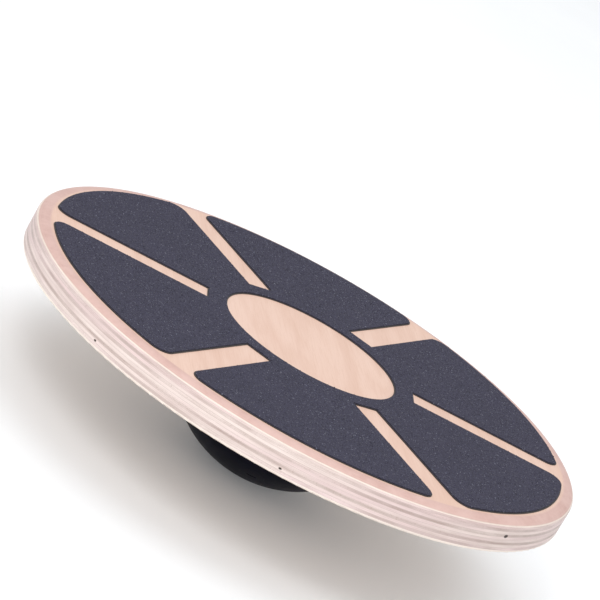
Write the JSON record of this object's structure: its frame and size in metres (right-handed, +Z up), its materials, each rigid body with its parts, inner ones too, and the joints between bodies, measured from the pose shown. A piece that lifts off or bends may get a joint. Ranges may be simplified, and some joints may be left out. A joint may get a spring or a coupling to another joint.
{
  "type": "balance board",
  "caption": "Round plywood balance board with a slotted anti-slip grip sheet on top and a hollow moulded dome underneath that rocks on the floor.",
  "frame": {"origin": "on the floor under the centre of the board, at the bottom of the whole object's box, with the board level", "axes": "+Z up, along the axis that the round deck and the dome share; +X along the middle of one bare wooden spoke of the grip sheet"},
  "size_m": [0.4, 0.4, 0.0972],
  "materials": {
    "face_veneer": "satin clear lacquer",
    "cross_ply": "satin clear lacquer",
    "long_ply": "satin clear lacquer",
    "adhesive": "matte",
    "grip_backing": "matte",
    "grip_grit": "coarse mineral grit",
    "dome_plastic": "satin moulded",
    "foot_rubber": "matte",
    "screw_steel": "zinc plated",
    "insert_brass": "plain"
  },
  "bodies": {
    "root": {"face_veneer_top": "face_veneer", "core_ply_02": "cross_ply", "core_ply_03": "long_ply", "core_ply_04": "cross_ply", "core_ply_05": "long_ply", "core_ply_06": "cross_ply", "core_ply_07": "long_ply", "core_ply_08": "cross_ply", "core_ply_09": "long_ply", "core_ply_10": "cross_ply", "face_veneer_bottom": "face_veneer", "grip_adhesive": "adhesive", "grip_backing": "grip_backing", "grip_grit": "grip_grit", "dome_shell": "dome_plastic", "foot_pad": "foot_rubber", "foot_adhesive": "adhesive", "well_caps": "dome_plastic", "dome_screws": "screw_steel", "dome_washers": "screw_steel", "threaded_inserts": "insert_brass"}
  },
  "joints": []
}
